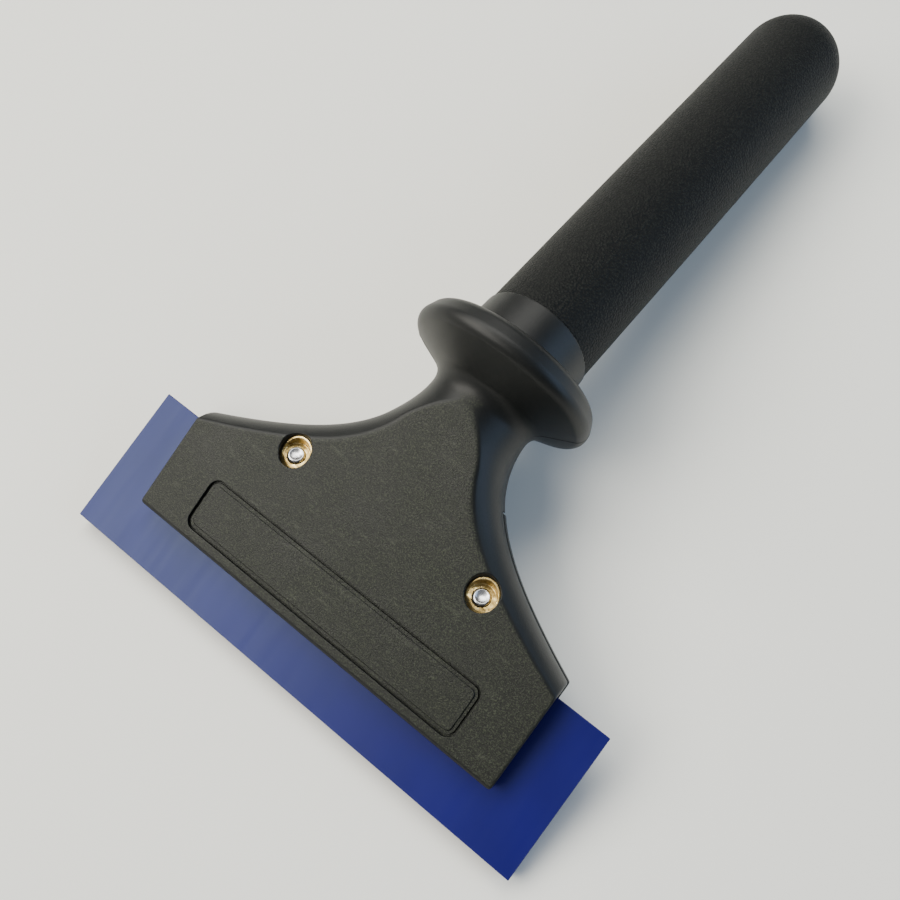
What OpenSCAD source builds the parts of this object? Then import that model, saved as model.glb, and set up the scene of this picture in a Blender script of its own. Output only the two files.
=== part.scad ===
// Clamp-handle squeegee applicator: a polyurethane blade held between the two
// jaws of a moulded nylon head, with a finger guard and a grip set at an angle.
// The part rests on the blade's working edge and the round end of the grip.
// Head frame: X along the blade, Y from the working edge to the neck, Z square
// to the blade, with Z = 0 in the middle of the blade's thickness.

/* [Blade] */
// Length of the blade along the working edge
blade_len = 152.4; // [126:0.2:165]
// Depth of the blade from the working edge to the back edge
blade_depth = 42.4; // [40:0.1:43]
// Thickness of the blade
blade_t = 5.4; // [4.6:0.1:5.4]

/* [Head] */
// Width of the two jaws
head_w = 120.6; // [112:0.2:126]
// Distance from the working edge to the lips of the jaws
lip_y = 15; // [12:0.2:20]
// Height of the front face above the blade's middle plane at the lip
face_lip_z = 8.4; // [8:0.1:10]
// Rise of the front face towards the neck, per millimetre
face_slope = 0.088; // [0.06:0.002:0.1]
// Depth of the back face below the blade's middle plane at the lip
back_lip_z = 6.2; // [5.6:0.1:6.4]
// Fall of the back face towards the neck, per millimetre
back_slope = 0.075; // [0.06:0.005:0.09]
// Gap between the two jaws along the parting line
part_gap = 0.4; // [0.3:0.1:0.6]
// Where the rear clamp plate ends and the one-piece neck begins
plate_end_y = 71.2; // [68:0.2:74]

/* [Label recess] */
// Length of the rounded recess on the front face
label_len = 91.6; // [70:0.2:96]
// Width of the recess
label_w = 15.4; // [10:0.2:17]
// Width of the groove around the blank panel
label_groove = 1.6; // [0.6:0.1:2]
// Depth of that groove
label_depth = 0.7; // [0.3:0.1:1]

/* [Clamp screws] */
// Distance between the two screws
screw_pitch = 62.5; // [58:0.5:66]
// Distance of the inserts from the working edge, on the front face
screw_y = 52.4; // [51:0.1:53]
// Outer diameter of the brass insert
insert_d = 9.0; // [8.6:0.1:9.2]
// Length of the brass insert
insert_len = 8.5; // [7:0.1:9]
// Diameter of the insert's bore for an M5 screw
insert_bore_d = 5.0; // [5:0.05:5.1]
// Diameter of the screw shank over the thread
screw_d = 4.9; // [4.86:0.01:4.95]
// Diameter of the screw head
screw_head_d = 8.6; // [8:0.1:9]

/* [Finger guard] */
// Radius where the disc's conical front would meet its rim
guard_front_r = 28.9; // [26:0.1:30]
// Radius where the disc's rim would meet its flat back
guard_back_r = 26; // [24:0.1:28]
// Distance from the front edge of the rim to the flat back
guard_rim = 7.3; // [6:0.1:9]
// Lean of the disc towards the blade's back
guard_tilt = 9.5; // [6:0.1:11]
// Distance of the disc from the working edge
guard_y = 97.5; // [96:0.2:99]
// Height of the disc's centre above the blade's middle plane
guard_z = 1.7; // [1:0.1:3]
// Diameter of the round neck in front of the disc
neck_d = 30.6; // [29:0.2:31.6]

/* [Grip] */
// Where the grip's axis starts, measured from the working edge
axis_y = 101.4; // [100:0.2:103]
// Height of that point above the blade's middle plane
axis_z = 2; // [1:0.1:4]
// Angle between the head and the grip
bend = 22.8; // [20:0.2:25]
// Outer diameter of the grip sleeve
grip_d = 33.4; // [31:0.2:34]
// Distance from the disc to the open end of the sleeve
grip_start = 13.5; // [12:0.1:18]
// Distance from the disc to the round end of the sleeve
grip_end = 175; // [160:1:180]
// Diameter of the smooth collar behind the disc
collar_d = 34.2; // [33.8:0.2:35]
// Diameter of the core inside the sleeve
core_d = 24.8; // [22:0.2:26]

/* [Hidden] */
$fn = 96;
eps = 0.05;
nylon = [0.13, 0.135, 0.125];
grain = [0.09, 0.10, 0.11];
blue = [0.10, 0.16, 0.62];
brass = [0.83, 0.66, 0.33];
steel = [0.75, 0.75, 0.76];

// Resting tilt: the plane under the blade's lower working corner and the grip's
// round end, seen from the side.
end_y = axis_y + (grip_end - grip_d / 2) * cos(bend);
end_z = axis_z - (grip_end - grip_d / 2) * sin(bend);
rest_d = sqrt(pow(end_y, 2) + pow(end_z + blade_t / 2, 2));
rest_tilt = -atan2(end_z + blade_t / 2, end_y) + asin(grip_d / 2 / rest_d);
// Lowest point to Z = 0, and the middle of the side view's length to Y = 0.
low_y = -blade_t / 2 * sin(rest_tilt);
high_y = end_y * cos(rest_tilt) - end_z * sin(rest_tilt) + grip_d / 2;
mid_y = (low_y + high_y) / 2;
up_z = blade_t / 2 * cos(rest_tilt);

slot_t = blade_t + 0.1;
screw_top = 2.7;       // screw tip below the front face, along the screw
insert_top = 1.9;      // nominal top of the insert below the front face, along the screw
mouth = 2.2;           // the insert's slanted mouth below the front face
ledge = 3.6;           // shoulder inside the insert, along the screw
seat = 18.4;           // washer seat below the front face, along the screw
washer_t = 1;
head_gap = 0.05;       // under the screw head, so it turns on its washer
head_t = 2.6;

function face_z(y) = face_lip_z + face_slope * (y - lip_y);
function back_z(y) = -back_lip_z - back_slope * (y - lip_y);
function bez(p, t) = pow(1 - t, 3) * p[0] + 3 * pow(1 - t, 2) * t * p[1] + 3 * (1 - t) * t * t * p[2] + pow(t, 3) * p[3];
// Concave side of the head: at the parting line, and at the edge of a face.
side_wide = [[head_w / 2, 46.6], [34, 58.5], [15.5, 70], [neck_d / 2, 88]];
side_face = [[head_w / 2 - 0.9, 43.6], [31, 57], [13.5, 66], [7.6, 88]];
steps = 20;
last_y = 97;
function half(q) = concat(
    [[head_w / 2 - 0.3 * q, lip_y + 0.3 * q]],
    [[head_w / 2 - 0.2 * q, 43.9 - 0.6 * q]],
    [for (i = [0 : steps]) bez(side_wide, i / steps) * (1 - q) + bez(side_face, i / steps) * q],
    [[neck_d / 2 * (1 - q) + 6.6 * q, last_y]]);
function ring(q) = let (h = half(q), n = len(h))
    concat(h, [for (i = [n - 1 : -1 : 0]) [-h[i][0], h[i][1]]]);

// A jaw: rings that step in towards the face, joined by triangles. Each level
// is [share of the height, share of the inset].
levels = [[0, 0], [0.42, 0], [0.72, 0.16], [0.9, 0.45], [1, 1]];
module jaw(z0, front) {
    rings = [for (l = levels) [for (p = ring(l[1])) [p[0], p[1], z0 + l[0] * ((front ? face_z(p[1]) : back_z(p[1])) - z0)]]];
    n = len(rings[0]);
    m = len(levels);
    pts = [for (r = rings) for (p = r) p];
    cap0 = [for (i = [0 : n / 2 - 2]) [i, n - 1 - i, n - 2 - i, i + 1]];
    cap1 = [for (i = [0 : n / 2 - 2]) let (a = (m - 1) * n) [a + i, a + i + 1, a + n - 2 - i, a + n - 1 - i]];
    wall = [for (k = [0 : m - 2]) for (i = [0 : n - 1]) let (a = k * n + i, b = k * n + (i + 1) % n)
        each [[a, b, b + n], [a, b + n, a + n]]];
    faces = concat(cap0, cap1, wall);
    polyhedron(points = pts, faces = front ? [for (f = faces) [for (i = [len(f) - 1 : -1 : 0]) f[i]]] : faces, convexity = 6);
}

module place() translate([0, -mid_y, up_z]) rotate([rest_tilt, 0, 0]) children();
module along_grip() translate([0, axis_y, axis_z]) rotate([-bend, 0, 0]) children();
module along_screw(side) translate([side * screw_pitch / 2, screw_y, face_z(screw_y)]) rotate([-bend, 0, 0]) children();
module on_face() translate([0, lip_y, face_lip_z]) rotate([atan(face_slope), 0, 0]) children();

module rounded_bar(l, w, r, h) linear_extrude(h, center = true) union() {
    square([l - 2 * r, w], center = true);
    square([l, w - 2 * r], center = true);
    for (i = [-1, 1], j = [-1, 1]) translate([i * (l / 2 - r), j * (w / 2 - r)]) circle(r);
}

// Profile of the guard disc as [radius, height]: conical front, sloping rim
// and flat back, with the two corners rounded.
function unit(v) = v / norm(v);
function meet(n, a, m, b) = let (d = n[0] * m[1] - n[1] * m[0]) [(a * m[1] - b * n[1]) / d, (n[0] * b - m[0] * a) / d];
function curve(c, r, a0, a1, k) = [for (i = [0 : k]) let (a = a0 + (a1 - a0) * i / k) [c[0] + r * cos(a), c[1] + r * sin(a)]];
front_p = [guard_front_r, 1.1];
back_p = [guard_back_r, guard_rim + 1.1];
disc_back = guard_rim + 1.2;
cone_n = unit([0.429, -1]);
rim_u = unit(back_p - front_p);
rim_n = [rim_u[1], -rim_u[0]];
front_r = 3.1;
back_r = 2.2;
front_c = meet(cone_n, cone_n * front_p - front_r, rim_n, rim_n * front_p - front_r);
back_c = meet(rim_n, rim_n * back_p - back_r, [0, 1], disc_back - back_r);
cone_a = atan2(cone_n[1], cone_n[0]);
rim_a = atan2(rim_n[1], rim_n[0]);
guard_profile = concat([[0, front_p[1] - 0.429 * front_p[0]]], curve(front_c, front_r, cone_a, rim_a, 5),
                       curve(back_c, back_r, rim_a, 90, 9), [[0, disc_back]]);
module guard() translate([0, guard_y, guard_z]) rotate([-guard_tilt, 0, 0]) rotate([-90, 0, 0])
    rotate_extrude() polygon(guard_profile);

module handle_body() color(nylon) place() {
    difference() {
        union() {
            jaw(part_gap / 2, true);
            intersection() {
                jaw(part_gap / 2, false);
                translate([-50, plate_end_y + 0.3, -30]) cube([100, 60, 60]);
            }
            translate([0, 76, 0.4]) rotate([-90, 0, 0]) cylinder(h = 12, d1 = 20, d2 = neck_d - 1);
            translate([0, 88, 0.4]) rotate([-90, 0, 0]) cylinder(h = 10, d = neck_d - 1);
            guard();
            along_grip() rotate([-90, 0, 0]) {
                cylinder(h = grip_start, d = collar_d);
                cylinder(h = grip_end - grip_d / 2, d = core_d);
            }
        }
        // slot for the front half of the blade
        translate([-head_w, 0, -eps]) cube([2 * head_w, blade_depth + 0.3, slot_t / 2 + eps]);
        // groove around the blank label panel
        on_face() translate([0, 10.85, 0]) difference() {
            rounded_bar(label_len, label_w, 3, 2 * label_depth);
            rounded_bar(label_len - 2 * label_groove, label_w - 2 * label_groove, 2, 4);
        }
        for (s = [-1, 1]) along_screw(s) {
            translate([0, 0, -insert_top - insert_len]) cylinder(h = 20, d = insert_d);
            translate([0, 0, -30]) cylinder(h = 30, d = 5.6);
        }
        // hollow core, open under the round end of the sleeve
        along_grip() rotate([-90, 0, 0]) translate([0, 0, 30]) cylinder(h = grip_end, d = 16);
    }
}

module clamp_plate() color(nylon) place() {
    difference() {
        intersection() {
            jaw(-part_gap / 2, false);
            translate([-80, 0, -30]) cube([160, plate_end_y, 60]);
        }
        translate([-head_w, 0, -slot_t / 2]) cube([2 * head_w, blade_depth + 1.4, slot_t]);
        for (s = [-1, 1]) along_screw(s) {
            translate([0, 0, -40]) cylinder(h = 40, d = 5.6);
            translate([0, 0, -seat - 20]) cylinder(h = 20, d = 10.8);
        }
    }
}

module squeegee_blade() color(blue) place()
    translate([-blade_len / 2, 0, -blade_t / 2]) cube([blade_len, blade_depth, blade_t]);

// Brass insert with a counterbore, its mouth faced off parallel to the head.
module insert(side) color(brass) place() difference() {
    intersection() {
        along_screw(side) translate([0, 0, -insert_top - insert_len]) cylinder(h = insert_len + 5, d = insert_d - 0.04);
        on_face() translate([-100, -50, -60 - mouth]) cube([200, 150, 60]);
    }
    along_screw(side) translate([0, 0, -insert_top - insert_len - 1]) cylinder(h = insert_len + 8, d = insert_bore_d);
    along_screw(side) translate([0, 0, -ledge]) cylinder(h = 8, d = 7.4);
}

// Pan-head machine screw with a hex socket.
module screw(side) color(steel) place() along_screw(side) difference() {
    union() {
        translate([0, 0, -screw_top - 0.6]) cylinder(h = 0.6, d1 = screw_d, d2 = screw_d - 1);
        translate([0, 0, -seat - washer_t - head_gap]) cylinder(h = seat + washer_t + head_gap - screw_top - 0.6, d = screw_d);
        translate([0, 0, -seat - washer_t - head_gap - head_t]) cylinder(h = head_t, d = screw_head_d);
    }
    translate([0, 0, -seat - washer_t - head_gap - head_t - 1]) cylinder(h = 2.6, d = 3.46, $fn = 6);
}

module washer(side) color(steel) place() along_screw(side)
    translate([0, 0, -seat - washer_t]) difference() {
        cylinder(h = washer_t, d = 10);
        translate([0, 0, -1]) cylinder(h = washer_t + 2, d = 5.2);
    }

module insert_left() insert(-1);
module insert_right() insert(1);
module screw_left() screw(-1);
module screw_right() screw(1);
module washer_left() washer(-1);
module washer_right() washer(1);

// Sleeve with a closed round end.
module grip_sleeve() color(grain) place() along_grip() rotate([-90, 0, 0]) difference() {
    union() {
        translate([0, 0, grip_start]) cylinder(h = grip_end - grip_start - grip_d / 2, d = grip_d);
        translate([0, 0, grip_end - grip_d / 2]) sphere(d = grip_d);
    }
    translate([0, 0, -30]) cylinder(h = grip_start + 30, d = 60);
    cylinder(h = grip_end - grip_d / 2 + 0.2, d = core_d + 0.04);
}

handle_body();
clamp_plate();
squeegee_blade();
insert_left();
insert_right();
screw_left();
screw_right();
washer_left();
washer_right();
grip_sleeve();
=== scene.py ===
import bpy
import math
import numpy as np
from mathutils import Matrix, Vector


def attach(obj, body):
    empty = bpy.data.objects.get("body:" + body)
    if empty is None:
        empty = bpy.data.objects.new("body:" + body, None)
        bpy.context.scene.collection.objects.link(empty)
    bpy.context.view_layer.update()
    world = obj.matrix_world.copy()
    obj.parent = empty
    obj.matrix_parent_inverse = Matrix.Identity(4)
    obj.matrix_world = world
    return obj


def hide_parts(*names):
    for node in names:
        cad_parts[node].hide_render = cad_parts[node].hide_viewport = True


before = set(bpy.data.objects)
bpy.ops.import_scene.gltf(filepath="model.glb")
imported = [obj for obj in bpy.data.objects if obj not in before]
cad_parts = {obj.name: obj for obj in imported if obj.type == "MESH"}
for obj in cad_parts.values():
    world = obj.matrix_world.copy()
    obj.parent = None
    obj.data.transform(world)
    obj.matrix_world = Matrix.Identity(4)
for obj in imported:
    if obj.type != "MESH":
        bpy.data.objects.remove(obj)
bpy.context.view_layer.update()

# ---------------------------------------------------------------- sizes (mm)
# The same sizes as the CAD, in the head frame: X along the blade, Y from the
# working edge to the neck, Z square to the blade, Z = 0 mid-thickness.
BLADE_L, BLADE_W, BLADE_T = 152.4, 42.4, 5.4
HEAD_W, LIP_Y, FACE_Z, FACE_K = 120.6, 15.0, 8.4, 0.088
BACK_Z, BACK_K, GAP, PLATE_Y = 6.2, 0.075, 0.4, 71.2
SCREW_X, SCREW_Y, INSERT_D, INSERT_L, INSERT_TOP = 31.25, 52.4, 9.0, 8.5, 1.9
SCREW_TOP, SEAT, MOUTH, LEDGE = 2.7, 18.4, 2.2, 3.6
GUARD_Y, GUARD_Z = 101.4, 2.0
DISC_Y, DISC_Z, DISC_TILT, DISC_BACK = 97.5, 1.7, 9.5, 8.5
DISC_P, DISC_R = [(15.6, -4.6), (28.9, 1.1), (26.0, 8.4)], (3.1, 2.2)
BEND, GRIP_D, GRIP_0, GRIP_1, COLLAR_D, CORE_D = 22.8, 33.4, 13.5, 175.0, 34.2, 24.8
NECK_D = 30.6
LABEL_L, LABEL_W, LABEL_Y, GROOVE, GROOVE_DEPTH = 91.6, 15.4, 25.85, 1.6, 0.7

rad = math.radians
cb, sb = math.cos(rad(BEND)), math.sin(rad(BEND))
end_y = GUARD_Y + (GRIP_1 - GRIP_D / 2) * cb
end_z = GUARD_Z - (GRIP_1 - GRIP_D / 2) * sb
TILT = -math.atan2(end_z + BLADE_T / 2, end_y) + math.asin(GRIP_D / 2 / math.hypot(end_y, end_z + BLADE_T / 2))
low_y = -BLADE_T / 2 * math.sin(TILT)
high_y = end_y * math.cos(TILT) - end_z * math.sin(TILT) + GRIP_D / 2
MID_Y, UP_Z = (low_y + high_y) / 2, BLADE_T / 2 * math.cos(TILT)
ROT = np.array([[1, 0, 0], [0, math.cos(TILT), -math.sin(TILT)], [0, math.sin(TILT), math.cos(TILT)]])
OFF = np.array([0, -MID_Y, UP_Z])


def row(p):
    """Head frame in mm to the row frame in metres."""
    return (np.asarray(p, float) @ ROT.T + OFF) / 1000


# ------------------------------------------------------------- mesh building
def outward(verts, faces):
    """The faces, turned so that the closed mesh has a positive volume."""
    v = np.asarray(verts, float)
    vol = 0.0
    for f in faces:
        for i in range(1, len(f) - 1):
            vol += v[f[0]] @ np.cross(v[f[i]], v[f[i + 1]])
    return faces if vol >= 0 else [tuple(f)[::-1] for f in faces]


def new_object(name, verts, faces, material, normals=None, smooth=True):
    if len(faces) > 1:
        faces = outward(verts, faces)
    me = bpy.data.meshes.new(name)
    me.from_pydata([tuple(v) for v in verts], [], [tuple(f) for f in faces])
    me.update()
    ob = bpy.data.objects.new(name, me)
    bpy.context.scene.collection.objects.link(ob)
    if material is not None:
        me.materials.append(material)
    if smooth:
        me.polygons.foreach_set("use_smooth", [True] * len(me.polygons))
    if normals is not None:
        me.normals_split_custom_set_from_vertices([tuple(n) for n in normals])
    return ob


def fast_object(name, verts, quads, material, normals=None):
    """new_object for big quad meshes held in numpy arrays."""
    me = bpy.data.meshes.new(name)
    nv, nq = len(verts), len(quads)
    a, b, c = (np.asarray(verts)[quads[:, i]] for i in (0, 1, 2))
    e = np.asarray(verts)[quads[:, 3]]
    if (a * np.cross(b, c)).sum() + (a * np.cross(c, e)).sum() < 0:
        quads = quads[:, ::-1]
    me.vertices.add(nv)
    me.vertices.foreach_set("co", np.asarray(verts, np.float32).ravel())
    me.loops.add(nq * 4)
    me.loops.foreach_set("vertex_index", np.asarray(quads, np.int32).ravel())
    me.polygons.add(nq)
    me.polygons.foreach_set("loop_start", np.arange(0, nq * 4, 4, dtype=np.int32))
    me.polygons.foreach_set("use_smooth", np.ones(nq, bool))
    me.update(calc_edges=True)
    me.validate()
    ob = bpy.data.objects.new(name, me)
    bpy.context.scene.collection.objects.link(ob)
    me.materials.append(material)
    if normals is not None and len(me.vertices) == nv:
        me.normals_split_custom_set_from_vertices(np.asarray(normals, np.float32))
    return ob


def rmax(a, b, r):
    """Intersection of two solids with a rounded edge of radius r."""
    return np.minimum(np.maximum(a, b), -r) + np.hypot(np.maximum(a + r, 0), np.maximum(b + r, 0))


def rmin(a, b, k):
    """Union of two solids with a fillet of about radius k."""
    h = np.maximum(k - np.abs(a - b), 0) / k
    return np.minimum(a, b) - h * h * k / 4


def smoothstep(a, b, x):
    t = np.clip((x - a) / (b - a), 0, 1)
    return t * t * (3 - 2 * t)


def axis_steps(lo, hi, base, fine):
    """Grid lines from lo to hi, base apart, and closer within fine = [(a, b, step), ...]."""
    out, x = [lo], lo
    while x < hi:
        step = base
        for a, b, s in fine:
            d = max(a - x, x - b, 0)
            step = min(step, s + 0.25 * d)
        x += step
        out.append(x)
    return np.array(out)


def surface_net(f, xs, ys, zs):
    """A quad mesh of f = 0 on a grid of uneven steps, with each vertex pulled onto the surface."""
    X, Y, Z = xs[:, None, None], ys[None, :, None], zs[None, None, :]
    v = f(X, Y, Z).astype(np.float32)
    inside = v < 0
    nx, ny, nz = v.shape
    c = inside[:-1, :-1, :-1].astype(np.int8)
    n = np.zeros((nx - 1, ny - 1, nz - 1), np.int8)
    for dx in (0, 1):
        for dy in (0, 1):
            for dz in (0, 1):
                n += inside[dx:nx - 1 + dx, dy:ny - 1 + dy, dz:nz - 1 + dz]
    act = (n > 0) & (n < 8)
    I, J, K = np.nonzero(act)
    index = -np.ones(act.shape, np.int64)
    index[I, J, K] = np.arange(len(I))
    P = np.zeros((len(I), 3))
    W = np.zeros(len(I))
    co = (xs, ys, zs)
    for ax in range(3):
        for a in (0, 1):
            for b in (0, 1):
                o = [0, 0, 0]
                others = [q for q in range(3) if q != ax]
                o[others[0]], o[others[1]] = a, b
                e = list(o)
                e[ax] = 1
                v0 = v[I + o[0], J + o[1], K + o[2]]
                v1 = v[I + e[0], J + e[1], K + e[2]]
                cross = (v0 < 0) != (v1 < 0)
                t = np.where(cross, v0 / np.where(cross, v0 - v1, 1), 0)
                ijk0 = (I + o[0], J + o[1], K + o[2])
                ijk1 = (I + e[0], J + e[1], K + e[2])
                for q in range(3):
                    p0, p1 = co[q][ijk0[q]], co[q][ijk1[q]]
                    P[:, q] += np.where(cross, p0 + t * (p1 - p0), 0)
                W += cross
    P /= W[:, None]
    quads = []
    for ax in range(3):
        s0 = [slice(1, -1)] * 3
        s1 = [slice(1, -1)] * 3
        s0[ax], s1[ax] = slice(0, -1), slice(1, None)
        a, b = inside[tuple(s0)], inside[tuple(s1)]
        for flip in (False, True):
            m = (~a & b) if flip else (a & ~b)
            i, j, k = np.nonzero(m)
            base = [i + 1, j + 1, k + 1]
            base[ax] = base[ax] - 1
            u, w = (ax + 1) % 3, (ax + 2) % 3
            corner = []
            for du, dw in ((-1, -1), (0, -1), (0, 0), (-1, 0)):
                q = [base[0].copy(), base[1].copy(), base[2].copy()]
                q[u] += du
                q[w] += dw
                corner.append(index[q[0], q[1], q[2]])
            quad = np.stack(corner, 1)
            quads.append(quad[:, ::-1] if flip else quad)
    quads = np.concatenate(quads)

    def grad(p, h=0.02):
        g = np.empty_like(p)
        for q in range(3):
            d = np.zeros(3)
            d[q] = h
            a, b = p + d, p - d
            g[:, q] = (f(a[:, 0], a[:, 1], a[:, 2]) - f(b[:, 0], b[:, 1], b[:, 2])) / (2 * h)
        return g

    start = P.copy()
    for _ in range(3):
        g = grad(P)
        d = f(P[:, 0], P[:, 1], P[:, 2])
        P -= (d / np.maximum((g * g).sum(1), 0.2))[:, None] * g
        move = P - start
        far = np.linalg.norm(move, axis=1)
        P = start + move * np.minimum(1, 0.35 / np.maximum(far, 1e-9))[:, None]
    g = grad(P, 0.05)
    g /= np.maximum(np.linalg.norm(g, axis=1), 1e-9)[:, None]
    return P, quads, g


# ------------------------------------------------------- the head as a solid
def bezier(p, t):
    t = t[:, None]
    p = np.array(p, float)
    return (1 - t) ** 3 * p[0] + 3 * (1 - t) ** 2 * t * p[1] + 3 * (1 - t) * t * t * p[2] + t ** 3 * p[3]


_side = bezier([[HEAD_W / 2, 46.6], [34, 58.5], [15.5, 70], [NECK_D / 2, 88]], np.linspace(0, 1, 400))
_ty = np.arange(0, 130, 0.1)
_k0 = (_side[0, 0] - _side[8, 0]) / (_side[8, 1] - _side[0, 1])
_tw = np.interp(_ty, np.concatenate([_side[:, 1], [130]]), np.concatenate([_side[:, 0], [NECK_D / 2]]))
_tw = np.where(_ty < _side[0, 1], _side[0, 0] + _k0 * (_side[0, 1] - _ty), _tw)
_tg = np.gradient(_tw, 0.1)
_tg = np.convolve(np.pad(_tg, 10, mode="edge"), np.ones(21) / 21, mode="valid")


def half_width(y):
    """Half the width of the concave part, carried on straight past the corner, and its slope."""
    return np.interp(y, _ty, _tw), np.interp(y, _ty, _tg)


def face_z(y):
    return FACE_Z + FACE_K * (y - LIP_Y)


def back_z(y):
    return -BACK_Z - BACK_K * (np.minimum(y, 97) - LIP_Y) - 3.0 * smoothstep(73, 94, y)


def head_solid(x, y, z, grow=0.0):
    """The two jaws and the neck as one solid, before it is split: flat faces with a
    crisp edge, and sides that bulge into a round neck."""
    w, dw = half_width(y)
    side = (np.abs(x) - w) / np.sqrt(1 + dw * dw) - grow
    R = 12 + 3.5 * smoothstep(60, 85, y)
    up = np.maximum(z - 2.4 + 3.7 * smoothstep(76, 91, y), 0)
    dn = np.maximum(-z - 2.5 + 2.2 * smoothstep(76, 97, y), 0)
    bulge = np.hypot(np.maximum(side + R, 0), up) - R
    Rb = 9 + 6.5 * smoothstep(60, 88, y)
    under = np.hypot(np.maximum(side + Rb, 0), dn) - Rb
    d = np.maximum(np.maximum(bulge, under), side)
    d = rmax(d, np.abs(x) - HEAD_W / 2 - grow, 0.5)
    top = (z - face_z(y)) / math.hypot(1, FACE_K)
    d = rmax(d, top, 0.55)
    low = (back_z(y) - z) / math.hypot(1, BACK_K)
    d = rmax(d, low, 0.9)
    return rmax(d, LIP_Y - y, 1.2)


def guard_axes(x, y, z):
    t = rad(DISC_TILT)
    ry, rz = y - DISC_Y, z - DISC_Z
    a = ry * math.cos(t) - rz * math.sin(t)
    e = ry * math.sin(t) + rz * math.cos(t)
    return a, np.hypot(x, e)


def disc_solid(x, y, z):
    """Conical front, sloping rim and flat back, all with rounded edges."""
    a, rho = guard_axes(x, y, z)
    (r0, a0), (r1, a1), (r2, a2) = DISC_P
    l1, l2 = math.hypot(r1 - r0, a1 - a0), math.hypot(r2 - r1, a2 - a1)
    cone = ((rho - r1) * (a1 - a0) - (a - a1) * (r1 - r0)) / l1
    rim = ((rho - r2) * (a2 - a1) - (a - a2) * (r2 - r1)) / l2
    d = rmax(rmax(cone, rim, DISC_R[0]), a - DISC_BACK, DISC_R[1])
    # mould line across the front of the disc and over its rim
    return d - 0.12 * np.exp(-((z - 0.25) / 0.17) ** 2) * smoothstep(15.5, 17.5, rho) * (1 - smoothstep(5, 7, a))


def grip_axes(x, y, z):
    ry, rz = y - GUARD_Y, z - GUARD_Z
    return ry * cb - rz * sb, np.hypot(x, ry * sb + rz * cb)


def screw_axes(x, y, z):
    """Depth below the face and radius about the nearer screw's axis."""
    ry, rz = y - SCREW_Y, z - face_z(SCREW_Y)
    return -(ry * sb + rz * cb), np.hypot(np.abs(x) - SCREW_X, ry * cb - rz * sb)


def label_groove(x, y, z):
    """Distance to the middle of the groove round the label panel, and depth below the face."""
    px = np.abs(x) - (LABEL_L - GROOVE) / 2 + 2.3
    py = np.abs(y - LABEL_Y) - (LABEL_W - GROOVE) / 2 + 2.3
    d = np.hypot(np.maximum(px, 0), np.maximum(py, 0)) + np.minimum(np.maximum(px, py), 0) - 2.3
    return d, face_z(y) - z


def body_solid(x, y, z):
    d = head_solid(x, y, z)
    d = np.maximum(d, y - 102)
    d = rmin(d, disc_solid(x, y, z), 3.2)
    # collar
    s, rc = grip_axes(x, y, z)
    wall = rc - (COLLAR_D / 2 + 0.1 - 0.3 * np.clip(s / GRIP_0, 0, 1))
    collar = rmax(wall, np.maximum(s - GRIP_0 + 0.03, -s), 0.25)
    d = rmin(d, collar, 2.0)
    # the rear jaw is another piece
    d = rmax(d, -np.maximum(z - GAP / 2, y - (PLATE_Y + 0.3)), 0.25)
    # rebate for the blade
    d = rmax(d, -np.maximum(z - (BLADE_T / 2 + 0.05), y - (BLADE_W + 0.3)), 0.2)
    # insert bores
    t, rs = screw_axes(x, y, z)
    bore = np.maximum(rs - INSERT_D / 2, t - (INSERT_TOP + INSERT_L))
    bore = np.minimum(bore, rs - 2.8)
    d = rmax(d, -bore, 0.22)
    g, depth = label_groove(x, y, z)
    channel = rmax(np.abs(g) - GROOVE / 2, depth - 0.42, 0.08)
    slot = np.maximum(np.abs(g - GROOVE / 2 + 0.29) - 0.29, depth - GROOVE_DEPTH - 0.35)
    return rmax(d, -np.minimum(channel, slot), 0.1)


def plate_solid(x, y, z):
    d = head_solid(x, y, z, 0.25)
    d = rmax(d, np.maximum(z + GAP / 2, y - PLATE_Y), 0.25)
    d = rmax(d, -np.maximum(-BLADE_T / 2 - 0.05 - z, y - (BLADE_W + 1.4)), 0.2)
    t, rs = screw_axes(x, y, z)
    hole = np.minimum(rs - 2.8, np.maximum(rs - 5.4, SEAT - t))
    return rmax(d, -hole, 0.3)


# ------------------------------------------------------------------ materials
def material(name, color, rough, spec=0.5, metal=0.0):
    m = bpy.data.materials.new(name)
    m.use_nodes = True
    b = m.node_tree.nodes["Principled BSDF"]
    b.inputs["Base Color"].default_value = (*color, 1)
    b.inputs["Roughness"].default_value = rough
    b.inputs["Metallic"].default_value = metal
    b.inputs["Specular IOR Level"].default_value = spec
    return m, m.node_tree, b


def add(t, kind, **values):
    n = t.nodes.new(kind)
    for k, v in values.items():
        if hasattr(n, k):
            setattr(n, k, v)
    return n


def noise(t, coord, scale, detail=4.0, rough=0.6):
    n = t.nodes.new("ShaderNodeTexNoise")
    n.inputs["Scale"].default_value = scale
    n.inputs["Detail"].default_value = detail
    n.inputs["Roughness"].default_value = rough
    t.links.new(coord, n.inputs["Vector"])
    return n.outputs["Fac"]


def ramp(t, fac, stops, kind="LINEAR"):
    n = t.nodes.new("ShaderNodeValToRGB")
    r = n.color_ramp
    r.interpolation = kind
    while len(r.elements) < len(stops):
        r.elements.new(0.5)
    for e, (p, c) in zip(r.elements, stops):
        e.position = p
        e.color = (*c, 1) if len(c) == 3 else c
    t.links.new(fac, n.inputs["Fac"])
    return n.outputs["Color"]


def mix(t, fac, a, b, mode="MIX"):
    n = t.nodes.new("ShaderNodeMix")
    n.data_type = "RGBA"
    n.blend_type = mode
    if isinstance(fac, float):
        n.inputs[0].default_value = fac
    else:
        t.links.new(fac, n.inputs[0])
    t.links.new(a, n.inputs[6])
    t.links.new(b, n.inputs[7])
    return n.outputs[2]


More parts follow.
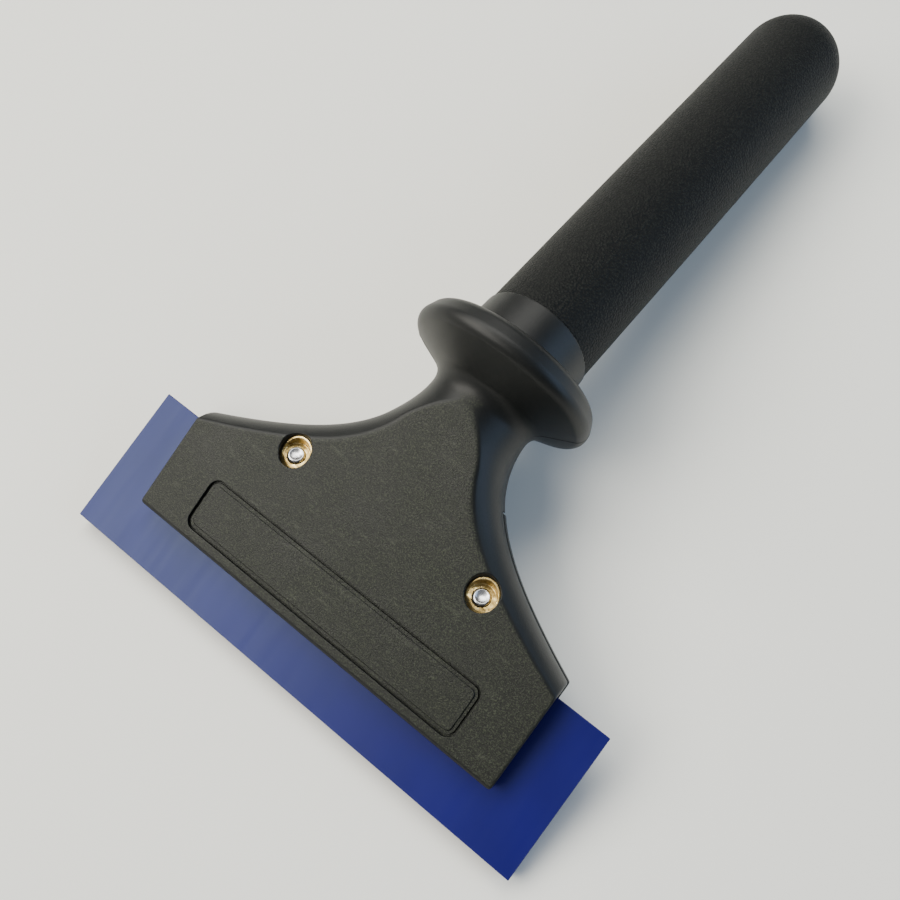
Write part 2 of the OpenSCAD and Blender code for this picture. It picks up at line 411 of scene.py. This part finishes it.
def spread(t, fac, lo, hi, a=0.3, b=0.7):
    n = t.nodes.new("ShaderNodeMapRange")
    for k, v in (("From Min", a), ("From Max", b), ("To Min", lo), ("To Max", hi)):
        n.inputs[k].default_value = v
    t.links.new(fac, n.inputs["Value"])
    return n.outputs["Result"]


def bump(t, shader, heights):
    """A chain of bumps: (height socket, strength, distance in metres)."""
    last = None
    for h, strength, dist in heights:
        n = t.nodes.new("ShaderNodeBump")
        if isinstance(strength, float):
            n.inputs["Strength"].default_value = strength
        else:
            t.links.new(strength, n.inputs["Strength"])
        n.inputs["Distance"].default_value = dist
        t.links.new(h, n.inputs["Height"])
        if last is not None:
            t.links.new(last, n.inputs["Normal"])
        last = n.outputs["Normal"]
    t.links.new(last, shader.inputs["Normal"])


def coords(t, stretch=(1, 1, 1)):
    c = t.nodes.new("ShaderNodeTexCoord")
    m = t.nodes.new("ShaderNodeMapping")
    m.inputs["Scale"].default_value = stretch
    t.links.new(c.outputs["Object"], m.inputs["Vector"])
    return m.outputs["Vector"]


# black glass-filled nylon: fine speckle, cloudy patches and faint scuffs, with the smooth sides, disc and collar
# painted much darker than the flat faces as shade
mat_nylon, t, b = material("moulded_nylon", (0.010, 0.011, 0.009), 0.45, spec=0.36)
co = coords(t)
speck = noise(t, co, 2500.0, 4.0, 0.65)
cloud = noise(t, co, 60.0, 5.0, 0.6)
scuff = noise(t, coords(t, (0.35, 1.0, 1.0)), 330.0, 6.0, 0.72)
zone = t.nodes.new("ShaderNodeAttribute")
zone.attribute_name = "polish_and_shade"
polish_and_shade = zone.outputs["Fac"]
grainy = ramp(t, speck, [(0.36, (0.0006, 0.001, 0.0006)), (0.5, (0.0055, 0.0072, 0.0040)), (0.65, (0.034, 0.040, 0.024))])
marks = ramp(t, scuff, [(0.57, (0, 0, 0)), (0.73, (0.024, 0.026, 0.019))])
grainy = mix(t, 1.0, grainy, marks, "ADD")
# painted shade: the smooth sides, disc and collar take this much darker colour than the grained faces
sleek_shaded = ramp(t, speck, [(0.3, (0.0015, 0.002, 0.002)), (0.7, (0.004, 0.005, 0.005))])
patch = ramp(t, cloud, [(0.32, (0.72, 0.74, 0.74)), (0.68, (1.15, 1.15, 1.1))])
t.links.new(mix(t, 1.0, mix(t, polish_and_shade, grainy, sleek_shaded), patch, "MULTIPLY"), b.inputs["Base Color"])
face_rough, side_rough = spread(t, cloud, 0.40, 0.52), spread(t, cloud, 0.40, 0.47)
n = t.nodes.new("ShaderNodeMix")
t.links.new(polish_and_shade, n.inputs[0])
t.links.new(face_rough, n.inputs[2])
t.links.new(side_rough, n.inputs[3])
t.links.new(n.outputs[0], b.inputs["Roughness"])
bump(t, b, [(speck, spread(t, polish_and_shade, 0.80, 0.22, 0.0, 1.0), 0.00018), (scuff, spread(t, polish_and_shade, 0.25, 0.08, 0.0, 1.0), 0.00035)])

# grip: fine leathery grain
mat_grip, t, b = material("grip_grain", (0.010, 0.011, 0.010), 0.6, spec=0.19)
co = coords(t)
v = t.nodes.new("ShaderNodeTexVoronoi")
v.inputs["Scale"].default_value = 1500.0
t.links.new(co, v.inputs["Vector"])
grain = noise(t, co, 2300.0, 3.0, 0.7)
cloud = noise(t, co, 75.0, 4.0, 0.6)
base = ramp(t, v.outputs["Distance"], [(0.05, (0.013, 0.015, 0.012)), (0.5, (0.001, 0.0015, 0.0015))])
patch = ramp(t, cloud, [(0.3, (0.82, 0.84, 0.86)), (0.7, (1.15, 1.14, 1.1))])
t.links.new(mix(t, 1.0, base, patch, "MULTIPLY"), b.inputs["Base Color"])
t.links.new(spread(t, grain, 0.5, 0.68), b.inputs["Roughness"])
bump(t, b, [(v.outputs["Distance"], 0.8, -0.00030), (grain, 0.7, 0.00016)])

# cast polyurethane: deep blue, glossy, with faint drag lines across the width
mat_blade, t, b = material("blue_urethane", (0.006, 0.002, 0.11), 0.37, spec=0.42)
co = coords(t)
streak = noise(t, coords(t, (14.0, 1.0, 1.0)), 26.0, 4.0, 0.6)
haze = noise(t, co, 42.0, 3.0, 0.5)
base = ramp(t, haze, [(0.3, (0.003, 0.0006, 0.095)), (0.7, (0.004, 0.0010, 0.120))])
t.links.new(base, b.inputs["Base Color"])
t.links.new(spread(t, streak, 0.34, 0.40), b.inputs["Roughness"])
b.inputs["Specular Tint"].default_value = (0.70, 0.86, 1.0, 1)
bump(t, b, [(streak, 0.05, 0.0002), (noise(t, co, 2600.0, 2.0, 0.5), 0.03, 0.00004)])

# turned brass
mat_brass, t, b = material("insert_brass", (0.80, 0.55, 0.20), 0.3, metal=1.0)
co = coords(t)
stain = noise(t, co, 700.0, 4.0, 0.6)
t.links.new(ramp(t, stain, [(0.3, (0.20, 0.13, 0.04)), (0.5, (0.52, 0.38, 0.15)), (0.75, (0.85, 0.70, 0.38))]), b.inputs["Base Color"])
t.links.new(spread(t, stain, 0.38, 0.24), b.inputs["Roughness"])
bump(t, b, [(noise(t, coords(t, (1.0, 1.0, 3.0)), 2800.0, 3.0, 0.6), 0.25, 0.00006)])

# zinc-plated steel
mat_steel, t, b = material("screw_steel", (0.72, 0.73, 0.76), 0.26, metal=1.0)
co = coords(t)
stain = noise(t, co, 1500.0, 4.0, 0.6)
t.links.new(ramp(t, stain, [(0.3, (0.50, 0.51, 0.54)), (0.6, (0.80, 0.80, 0.82))]), b.inputs["Base Color"])
t.links.new(spread(t, stain, 0.34, 0.2), b.inputs["Roughness"])
bump(t, b, [(stain, 0.3, 0.00008)])

# pale satin table
mat_floor, t, b = material("table_top", (0.80, 0.79, 0.76), 0.5, spec=0.3)
co = coords(t)
t.links.new(ramp(t, noise(t, co, 3.0, 3.0, 0.5), [(0.3, (0.905, 0.90, 0.835)), (0.7, (0.935, 0.93, 0.87))]), b.inputs["Base Color"])
t.links.new(spread(t, noise(t, co, 40.0, 3.0, 0.5), 0.45, 0.55), b.inputs["Roughness"])

# ------------------------------------------------------------------ the pieces
coarse = 1.0
fine = 0.3 * coarse
xs_half = axis_steps(0, 61.6, 0.6 * coarse, [(26.8, 36.7, fine), (43.7, 46.2, 0.14 * coarse), (58.5, 61, fine)])
xs = np.concatenate([-xs_half[:0:-1], xs_half]) + 0.013
ys = axis_steps(13.8, 121.5, 0.55 * coarse, [(14.6, 16.2, fine), (17.8, 20.2, 0.14 * coarse), (31.5, 33.9, 0.14 * coarse), (46.6, 58.2, fine), (90, 121, 0.38 * coarse)])
zs = axis_steps(-28.3, 32.6, 0.6 * coarse, [(7.4, 14.2, fine), (-0.4, 0.8, 0.14 * coarse)])


def set_polish_and_shade(ob, P, N):
    """1 on the smooth sides, disc and collar, which are also painted darker as shade; 0 on the grained flat faces.
    """
    flat = smoothstep(0.955, 0.99, np.abs(N[:, 2])) * (1 - smoothstep(88, 93, P[:, 1]))
    a = ob.data.attributes.new("polish_and_shade", "FLOAT", "POINT")
    if len(ob.data.vertices) == len(P):
        a.data.foreach_set("value", (1 - flat).astype(np.float32))


P, Q, N = surface_net(body_solid, xs, ys, zs)
body = fast_object("handle_shell", row(P), Q, mat_nylon, N @ ROT.T)
set_polish_and_shade(body, P, N)
zs = axis_steps(-13.2, 1.0, 0.6 * coarse, [(-0.8, 0.2, fine), (-3.2, -2.2, fine)])
ys = axis_steps(14.0, 72.6, 0.55 * coarse, [(14.6, 16.2, fine), (38.8, 51.6, fine)])
P, Q, N = surface_net(plate_solid, xs, ys, zs)
plate = fast_object("rear_clamp_plate", row(P), Q, mat_nylon, N @ ROT.T)
set_polish_and_shade(plate, P, N)


def frame_of(origin, axis):
    """Row-frame origin and a right-handed set whose third vector is axis, from the head frame."""
    a = np.array(axis, float)
    a /= np.linalg.norm(a)
    x = np.array([1.0, 0, 0])
    y = np.cross(a, x)
    return np.array(origin, float), np.stack([x, y, a], 1)


def lathe(name, profile, origin, axis, mat, n=96, closed=False):
    """Turns (radius, height) points about an axis. Ends on the axis are closed with one vertex."""
    o, B = frame_of(origin, axis)
    ring_of, verts, faces = [], [], []
    for r, h in profile:
        if r < 1e-6:
            ring_of.append([len(verts)])
            verts.append((0, 0, h))
        else:
            ring_of.append(list(range(len(verts), len(verts) + n)))
            verts += [(r * math.cos(2 * math.pi * i / n), r * math.sin(2 * math.pi * i / n), h) for i in range(n)]
    pairs = list(zip(ring_of, ring_of[1:]))
    if closed:
        pairs.append((ring_of[-1], ring_of[0]))
    for a, b in pairs:
        if len(a) == 1 and len(b) == 1:
            continue
        for i in range(n):
            j = (i + 1) % n
            if len(a) == 1:
                faces.append((a[0], b[j], b[i]))
            elif len(b) == 1:
                faces.append((a[i], a[j], b[0]))
            else:
                faces.append((a[i], a[j], b[j], b[i]))
    v = row(np.array(verts) @ B.T + o)
    return new_object(name, v, faces, mat)


def arc(cx, cy, r, a0, a1, n):
    return [(cx + r * math.cos(rad(a0 + (a1 - a0) * i / n)), cy + r * math.sin(rad(a0 + (a1 - a0) * i / n))) for i in range(n + 1)]


U = np.array([0, sb, cb])
V = np.array([0, cb, -sb])
GC = np.array([0, GUARD_Y, GUARD_Z])
gr = GRIP_D / 2
prof = [(CORE_D / 2 + 0.1, GRIP_0 + 0.04), (gr - 0.6, GRIP_0 + 0.02)] + arc(gr - 0.5, GRIP_0 + 0.32, 0.3, -90, 0, 5)
prof += [(gr - 0.2 + 0.2 * min(1, s / 60), GRIP_0 + s) for s in np.linspace(2, GRIP_1 - GRIP_0 - gr, 60)]
prof += arc(0, GRIP_1 - gr, gr, 0, 90, 40)[1:-1] + [(0, GRIP_1)]
prof += [(0, GRIP_1 - gr + 0.2), (CORE_D / 2 + 0.1, GRIP_1 - gr + 0.2)]
grip = lathe("grip_cover", prof, GC, V, mat_grip, 160, closed=True)
core = lathe("handle_core", [(8, 12), (8, 158.8), (CORE_D / 2, 158.8), (CORE_D / 2, 12)], GC, V, mat_nylon, 64, closed=True)


def blade_mesh():
    """A flat strip with small broken edges."""
    b = 0.18
    nx = 76
    prof = [(b, -BLADE_T / 2), (BLADE_W - b, -BLADE_T / 2), (BLADE_W, -BLADE_T / 2 + b), (BLADE_W, BLADE_T / 2 - b),
            (BLADE_W - b, BLADE_T / 2), (b, BLADE_T / 2), (0, BLADE_T / 2 - b), (0, -BLADE_T / 2 + b)]
    L = BLADE_L / 2
    xs = [-L, -L + b] + list(np.linspace(-L + b, L - b, nx + 1)[1:-1]) + [L - b, L]
    verts, faces = [], []
    for i, x in enumerate(xs):
        end = i in (0, len(xs) - 1)
        for y, z in prof:
            if end:
                y = min(max(y, b), BLADE_W - b)
                z = min(max(z, -BLADE_T / 2 + b), BLADE_T / 2 - b)
            # the cut ends and the back edge lean in a little towards the underside
            lean = 0.7 * (BLADE_T / 2 - z) / BLADE_T
            verts.append((x * (1 - lean / L), y - lean * (y > BLADE_W / 2), z))
    m = len(prof)
    for i in range(len(xs) - 1):
        for j in range(m):
            k = (j + 1) % m
            faces.append((i * m + j, i * m + k, (i + 1) * m + k, (i + 1) * m + j)[::-1])
    faces.append(tuple(range(m)))
    faces.append(tuple((len(xs) - 1) * m + j for j in range(m))[::-1])
    return new_object("urethane_blade", row(verts), faces, mat_blade, smooth=False)


blade = blade_mesh()


def insert_mesh(name, side):
    """Threaded brass bush, its mouth faced off parallel to the head."""
    o = np.array([side * SCREW_X, SCREW_Y, face_z(SCREW_Y)])
    n = np.array([0, -FACE_K, 1]) / math.hypot(1, FACE_K)
    nv, nu = n @ V, n @ U

    def solid(x, y, h):
        rho = np.hypot(x, y)
        d = rmax(rho - (INSERT_D / 2 - 0.02), y * nv + h * nu + MOUTH, 0.16)
        d = rmax(d, -(INSERT_TOP + INSERT_L) - h, 0.25)
        mouth = rmax(rho - 3.85, -LEDGE - h, 0.25)
        return rmax(d, -np.minimum(mouth, rho - 2.52), 0.13)
    g = np.arange(-4.71, 4.8, 0.17 * coarse)
    h = axis_steps(-10.7, 1.6, 0.34 * coarse, [(-4.2, 1.6, 0.17 * coarse)])
    P, Q, N = surface_net(solid, g, g, h)
    B = np.stack([[1, 0, 0], V, U])
    return fast_object(name, row(P @ B + o), Q, mat_brass, N @ B @ ROT.T)


def screw_mesh(name, side):
    o = np.array([side * SCREW_X, SCREW_Y, face_z(SCREW_Y)])
    t0, t1 = -SCREW_TOP, -(SEAT + 1)
    prof = [(0, t0 - 0.25), (1.55, t0 - 0.2), (1.75, t0 - 0.02), (1.85, t0), (2.05, t0 - 0.05), (2.42, t0 - 0.55)]
    z = t0 - 0.8
    while z > t1 + 1:
        prof += [(2.42, z), (2.12, z - 0.35), (2.12, z - 0.45)]
        z -= 0.8
    prof += [(2.45, t1), (3.9, t1), (4.3, t1 - 0.3), (4.3, t1 - 2.0), (3.9, t1 - 2.6), (2.0, t1 - 2.6), (1.75, t1 - 2.4), (1.75, t1 - 1.2), (0, t1 - 1.0)]
    return lathe(name, prof[::-1], o, U, mat_steel, 72)


def washer_mesh(name, side):
    o = np.array([side * SCREW_X, SCREW_Y, face_z(SCREW_Y)])
    t = -SEAT
    prof = [(2.6, t - 0.9), (2.6, t - 0.1), (2.7, t), (4.9, t), (5.0, t - 0.1), (5.0, t - 0.9), (4.9, t - 1), (2.7, t - 1)]
    return lathe(name, prof[::-1], o, U, mat_steel, 72, closed=True)


pieces = [(body, "handle", "nylon", ["handle_body"]), (core, "handle", "nylon", []), (plate, "plate", "nylon", ["clamp_plate"]),
          (grip, "handle", "grip_rubber", ["grip_sleeve"]), (blade, "blade", "blade_urethane", ["squeegee_blade"])]
for tag, side in (("left", -1), ("right", 1)):
    pieces.append((insert_mesh("brass_insert_" + tag, side), "handle", "brass", ["insert_" + tag]))
    pieces.append((screw_mesh("clamp_screw_" + tag, side), "screw_" + tag, "steel", ["screw_" + tag]))
    pieces.append((washer_mesh("flat_washer_" + tag, side), "plate", "steel", ["washer_" + tag]))
for ob, bod, slot, nodes in pieces:
    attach(ob, bod)
    if nodes:
        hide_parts(*nodes)

# ------------------------------------------------------------------ the stage
floor = new_object("table", [(-2.5, -2.5, 0), (2.5, -2.5, 0), (2.5, 2.5, 0), (-2.5, 2.5, 0)], [(0, 1, 2, 3)], mat_floor, smooth=False)


def area_light(name, pos, target, size, power, color):
    d = bpy.data.lights.new(name, "AREA")
    d.shape = "RECTANGLE"
    d.size, d.size_y = size
    d.energy = power
    d.color = color
    o = bpy.data.objects.new(name, d)
    o.location = pos
    o.rotation_euler = (Vector(target) - Vector(pos)).to_track_quat("-Z", "Y").to_euler()
    bpy.context.scene.collection.objects.link(o)
    return o


area_light("window", (-1.08, -0.70, 1.28), (0, 0, 0), (1.75, 1.0), 43, (1.0, 0.965, 0.88))
area_light("ceiling", (-0.9, 0.85, 1.8), (0, 0, 0), (2.0, 1.4), 46, (1.0, 0.99, 0.93))
area_light("sky", (1.3, 0.65, 0.7), (0, 0, 0), (1.7, 1.1), 14, (0.47, 0.68, 1.0))
world = bpy.data.worlds.new("room")
bpy.context.scene.world = world
world.use_nodes = True
world.node_tree.nodes["Background"].inputs[0].default_value = (0.92, 0.94, 0.97, 1)
world.node_tree.nodes["Background"].inputs[1].default_value = 0.22

# ----------------------------------------------------------------- the camera
F, CX, CY = 931.13, 450.0, 445.54
rv = np.array([2.8659, 0.9328, -0.3593])
th = np.linalg.norm(rv)
k = rv / th
Kx = np.array([[0, -k[2], k[1]], [k[2], 0, -k[0]], [-k[1], k[0], 0]])
RC = np.eye(3) + math.sin(th) * Kx + (1 - math.cos(th)) * Kx @ Kx
TC = np.array([-45.137, 62.942, 247.709])
centre = row(-RC.T @ TC)
axes = ROT @ RC.T
m = np.eye(4)
m[:3, 0], m[:3, 1], m[:3, 2], m[:3, 3] = axes[:, 0], -axes[:, 1], -axes[:, 2], centre
cam_data = bpy.data.cameras.new("camera")
cam_data.sensor_width = 36.0
cam_data.lens = F / 900 * 36.0
cam_data.shift_x = -(CX - 450) / 900
cam_data.shift_y = (CY - 450) / 900
cam_data.clip_start = 0.01
cam = bpy.data.objects.new("camera", cam_data)
cam.matrix_world = Matrix(m.tolist())
bpy.context.scene.collection.objects.link(cam)
bpy.context.scene.camera = cam

bpy.context.view_layer.update()
